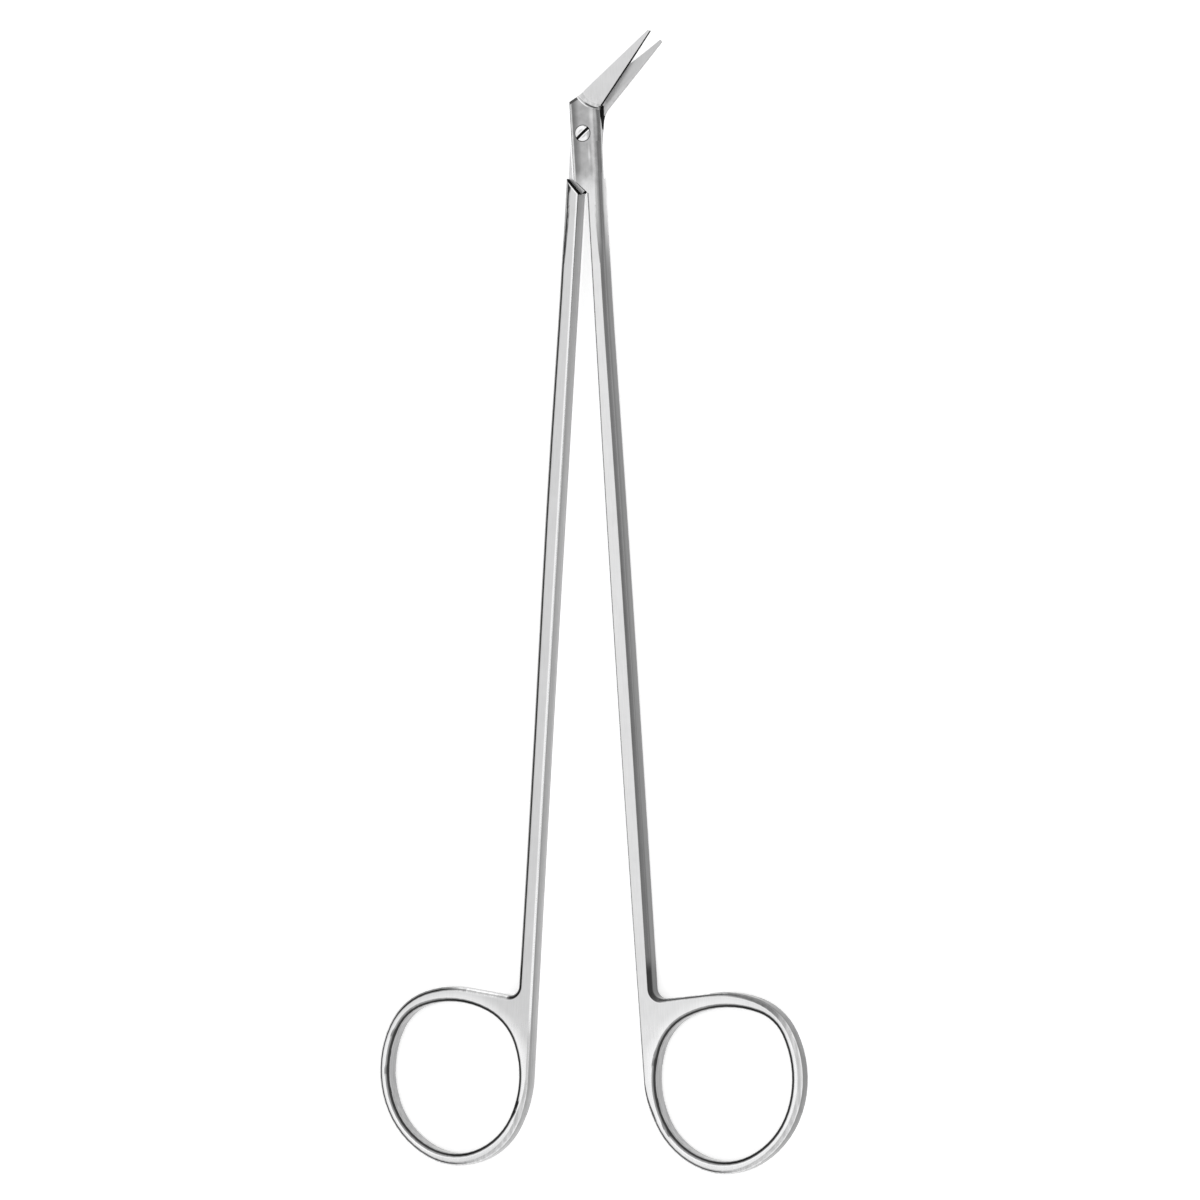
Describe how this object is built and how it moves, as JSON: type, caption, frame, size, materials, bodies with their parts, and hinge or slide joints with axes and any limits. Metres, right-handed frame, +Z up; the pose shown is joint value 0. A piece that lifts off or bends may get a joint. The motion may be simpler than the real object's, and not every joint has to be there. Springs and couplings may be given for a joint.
{
  "type": "vascular scissors",
  "caption": "Angled vascular scissors in stainless steel: slender crossed shanks with finger rings, lapped screw joint, and fine blades bent sideways at the joint.",
  "frame": {"origin": "on the pivot screw's axis, at the plane that the instrument lies on", "axes": "+Y from the finger rings towards the blades, +X to the side that the blades bend to, +Z up from the table along the pivot"},
  "size_m": [0.0758, 0.1899, 0.0038],
  "materials": {
    "forged_steel": "brushed",
    "screw_steel": "polished"
  },
  "bodies": {
    "back_half_with_screw": {"back_half": "forged_steel", "pivot_screw": "screw_steel"},
    "front_half_alone": {"front_half": "forged_steel"}
  },
  "joints": [
    {"name": "blade_pivot", "type": "hinge", "parent": "back_half_with_screw", "child": "front_half_alone", "pos_m": [0, 0, 0.00185], "axis": [0, 0, 1], "range_deg": [-7.2, 33]}
  ]
}
